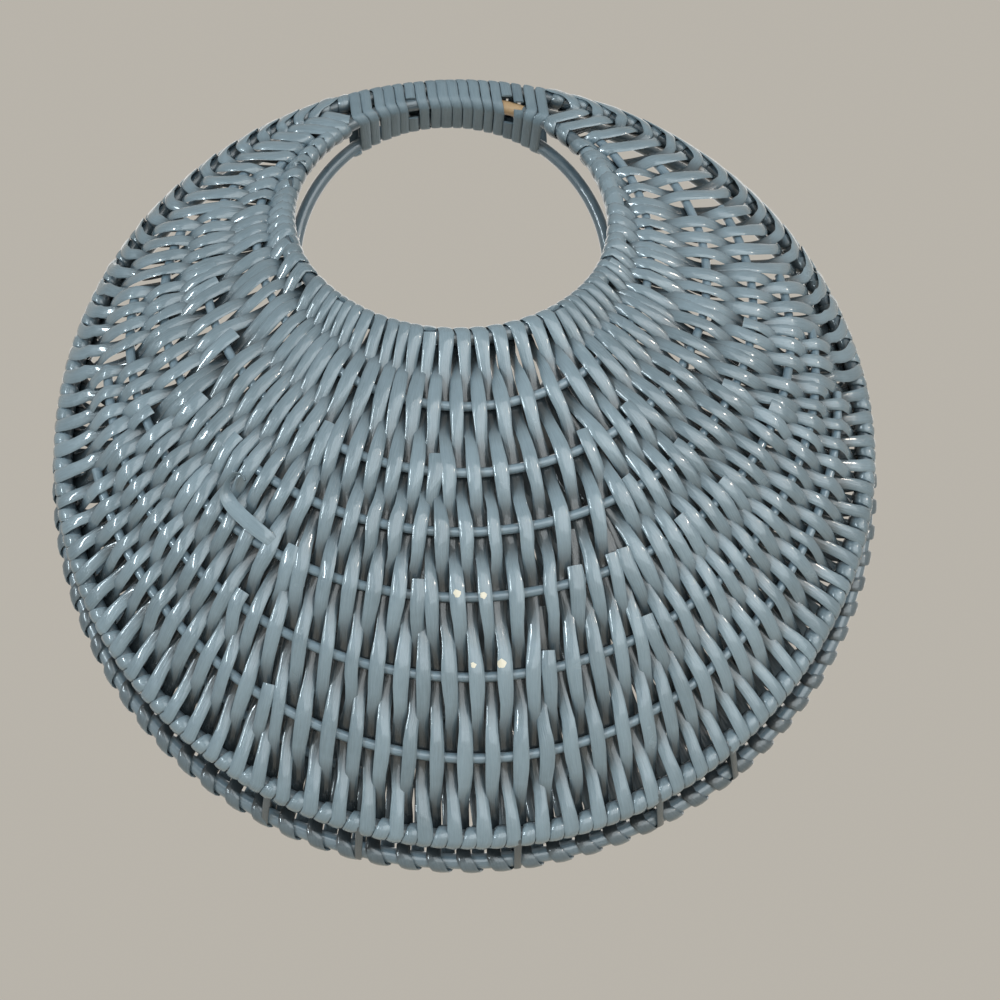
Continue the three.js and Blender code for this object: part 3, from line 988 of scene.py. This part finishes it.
# Its width and thickness, its width's share at places from its root to its tip, and the points of
# its smooth line for each station
LOOSE_WIDTH = 6.8
LOOSE_THICKNESS = 0.9
LOOSE_TAPER = ((0, 0.2, 0.6, 1), (0.8, 1, 0.9, 0.4))
LOOSE_FINENESS = 5

# Where paint fills the winding of the front ring, in degrees from the foot
FILLED_RING = ((-104, -80), (74, 118))
# How far it stands off the rod at its ends and how much more between, how blunt its ends are, and
# its small waves
FILL_THIN = 0.5
FILL_MORE = 0.95
FILL_BLUNT = 0.4
FILL_WAVE = 0.12
FILL_WAVES = 70
FILL_STATIONS = 60
FILL_SIDES = 16


def placed(panel, stations):
    """A smooth line through stations as LOOSE_RUN has them, and the direction across the strand."""
    columns = np.array(stations).T
    columns[0] = np.radians(columns[0])
    at = np.linspace(0, len(stations) - 1, LOOSE_FINENESS * len(stations))
    turn, share, height, edge = (curve_through(column, at) for column in columns)
    out = panel.out(turn, share)
    across = lerp(panel.away(turn, share), out, edge[:, None])
    return panel.point(turn, share) + out * height[:, None], across


def add_small_things(material):
    loose = Bundle()
    centre, across = placed(front, LOOSE_RUN)
    width = LOOSE_WIDTH * np.interp(np.linspace(0, 1, len(centre)), *LOOSE_TAPER)
    loose.strand(centre, across, width, LOOSE_THICKNESS)
    loose.finish("loose_run", material, "cane")

    filled = Bundle()
    full = np.sin(np.linspace(0, np.pi, FILL_STATIONS)) ** FILL_BLUNT
    for start, end in FILLED_RING:
        turn = np.radians(np.linspace(start, end, FILL_STATIONS))
        waves = FILL_WAVE * np.sin(turn * FILL_WAVES)
        filled.rod(front, turn, 0, 2 * (RIM_ROD + FILL_THIN + FILL_MORE * full) + waves, FILL_SIDES)
    filled.finish("ring_paint", material, "cane")


# Stage, light and camera, in metres

FLOOR_HALF_WIDTH = 1.2
FLOOR_HEIGHT = -0.75
FLOOR_LOOKS = {"Base Color": (0.72, 0.66, 0.57, 1), "Roughness": 0.9}
WORLD_LOOKS = {"Color": (0.67, 0.63, 0.56, 1), "Strength": 0.72}

# Lamps, all turned to the basket's middle: place, width and height, watts and colour
LIT_POINT = (0, 0, -0.18)
LIGHTS = (
    ("room", (0.6, -1.45, -0.33), (1.7, 1.5), 19.5, (0.9, 0.97, 1.0)),
    ("window", (-1.1, -1.15, -0.05), (0.09, 0.6), 10.5, (0.8, 0.93, 1.0)),
    ("lamp", (1.15, -1.1, 0.1), (0.1, 0.1), 2.5, (1.0, 0.86, 0.74)),
    ("fill", (0.2, 1.4, 0.7), (2.4, 2.4), 12, (0.95, 0.98, 1.0)),
)

# The camera, at the photo's angle: sensor and lens in millimetres, yaw, pitch and roll in degrees
SENSOR_WIDTH = 36
LENS = 45
CAMERA_PLACE = (-0.04716, -0.57174, -0.40873)
CAMERA_ANGLES = (5.646, 18.325, -6.196)
CLIP_START = 0.01


def add_floor():
    mesh = bpy.data.meshes.new("floor")
    signs = ((-1, -1), (1, -1), (1, 1), (-1, 1))
    corners = [(x * FLOOR_HALF_WIDTH, y * FLOOR_HALF_WIDTH, FLOOR_HEIGHT) for x, y in signs]
    mesh.from_pydata(corners, [], [(0, 1, 2, 3)])
    floor = bpy.data.objects.new("floor", mesh)
    bpy.context.scene.collection.objects.link(floor)
    nodes = Nodes("floor")
    nodes.feed(nodes.shader, FLOOR_LOOKS)
    mesh.materials.append(nodes.material)


def add_light(name, place, size, power, colour):
    light = bpy.data.lights.new(name, "AREA")
    light.shape = "RECTANGLE"
    light.size, light.size_y = size
    light.energy = power
    light.color = colour
    lamp = bpy.data.objects.new(name, light)
    bpy.context.scene.collection.objects.link(lamp)
    lamp.location = place
    lamp.rotation_euler = (Vector(LIT_POINT) - Vector(place)).to_track_quat("-Z", "Y").to_euler()


def add_world():
    world = bpy.data.worlds.new("world")
    bpy.context.scene.world = world
    world.use_nodes = True
    for key, value in WORLD_LOOKS.items():
        world.node_tree.nodes["Background"].inputs[key].default_value = value
    bpy.context.scene.view_settings.view_transform = "Standard"


def add_camera():
    data = bpy.data.cameras.new("camera")
    data.sensor_width = SENSOR_WIDTH
    data.lens = LENS
    data.clip_start = CLIP_START
    camera = bpy.data.objects.new("camera", data)
    bpy.context.scene.collection.objects.link(camera)
    yaw, pitch, roll = (math.radians(angle) for angle in CAMERA_ANGLES)
    ahead = math.cos(pitch)
    forward = Vector((math.sin(yaw) * ahead, math.cos(yaw) * ahead, math.sin(pitch)))
    level = forward.cross(Vector((0, 0, 1))).normalized()
    square = level.cross(forward)
    right = level * math.cos(roll) + square * math.sin(roll)
    up = square * math.cos(roll) - level * math.sin(roll)
    facing = Matrix((right, up, -forward)).transposed().to_4x4()
    camera.matrix_world = Matrix.Translation(CAMERA_PLACE) @ facing
    bpy.context.scene.camera = camera


# The basket and its stage

paint = painted_cane("paint_cane", PAINT_TONES, rough=0.23)
belly_paint = painted_cane("paint_belly", PAINT_TONES, rough=0.23, chips=chip_places(front))
bare_cane = painted_cane("bare_cane", BARE_TONES, rough=0.5)
# The back panel and the ties get the darker copy of the paint, as painted shade
shaded_back_paint = painted_cane("shaded_paint_back", SHADED_BACK_TONES, rough=0.34)
rod_paint = painted_cane("paint_rods", ROD_TONES, rough=0.3)
band_paint = painted_cane("paint_bands", BAND_TONES, rough=0.5, coat=0.15)

add_rods(front, FRONT_ROD_ENDS, rod_paint)
add_rods(back, BACK_ROD_ENDS, rod_paint)
front_weave = Weave(
    front,
    HalfWeave(-1, FRONT_LEFT_COURSES, FRONT_LEFT_PAIRS, FRONT_LEFT_SHORT),
    HalfWeave(1, FRONT_RIGHT_COURSES, FRONT_RIGHT_PAIRS, FRONT_RIGHT_SHORT),
    FRONT_ROD_ENDS,
    turns_on_hoop=1.5,
    fine=6,
)
back_weave = Weave(
    back,
    HalfWeave(-1, BACK_COURSES, BACK_PAIRS, BACK_SHORT),
    HalfWeave(1, BACK_COURSES, BACK_PAIRS, BACK_SHORT),
    BACK_ROD_ENDS,
    turns_on_hoop=0.5,
    fine=4,
)
add_weave(front_weave, belly_paint)
add_weave(back_weave, shaded_back_paint)
add_handle(band_paint, bare_cane)
add_lashings(shaded_back_paint)
add_small_things(paint)

add_floor()
add_camera()
for light in LIGHTS:
    add_light(*light)
add_world()
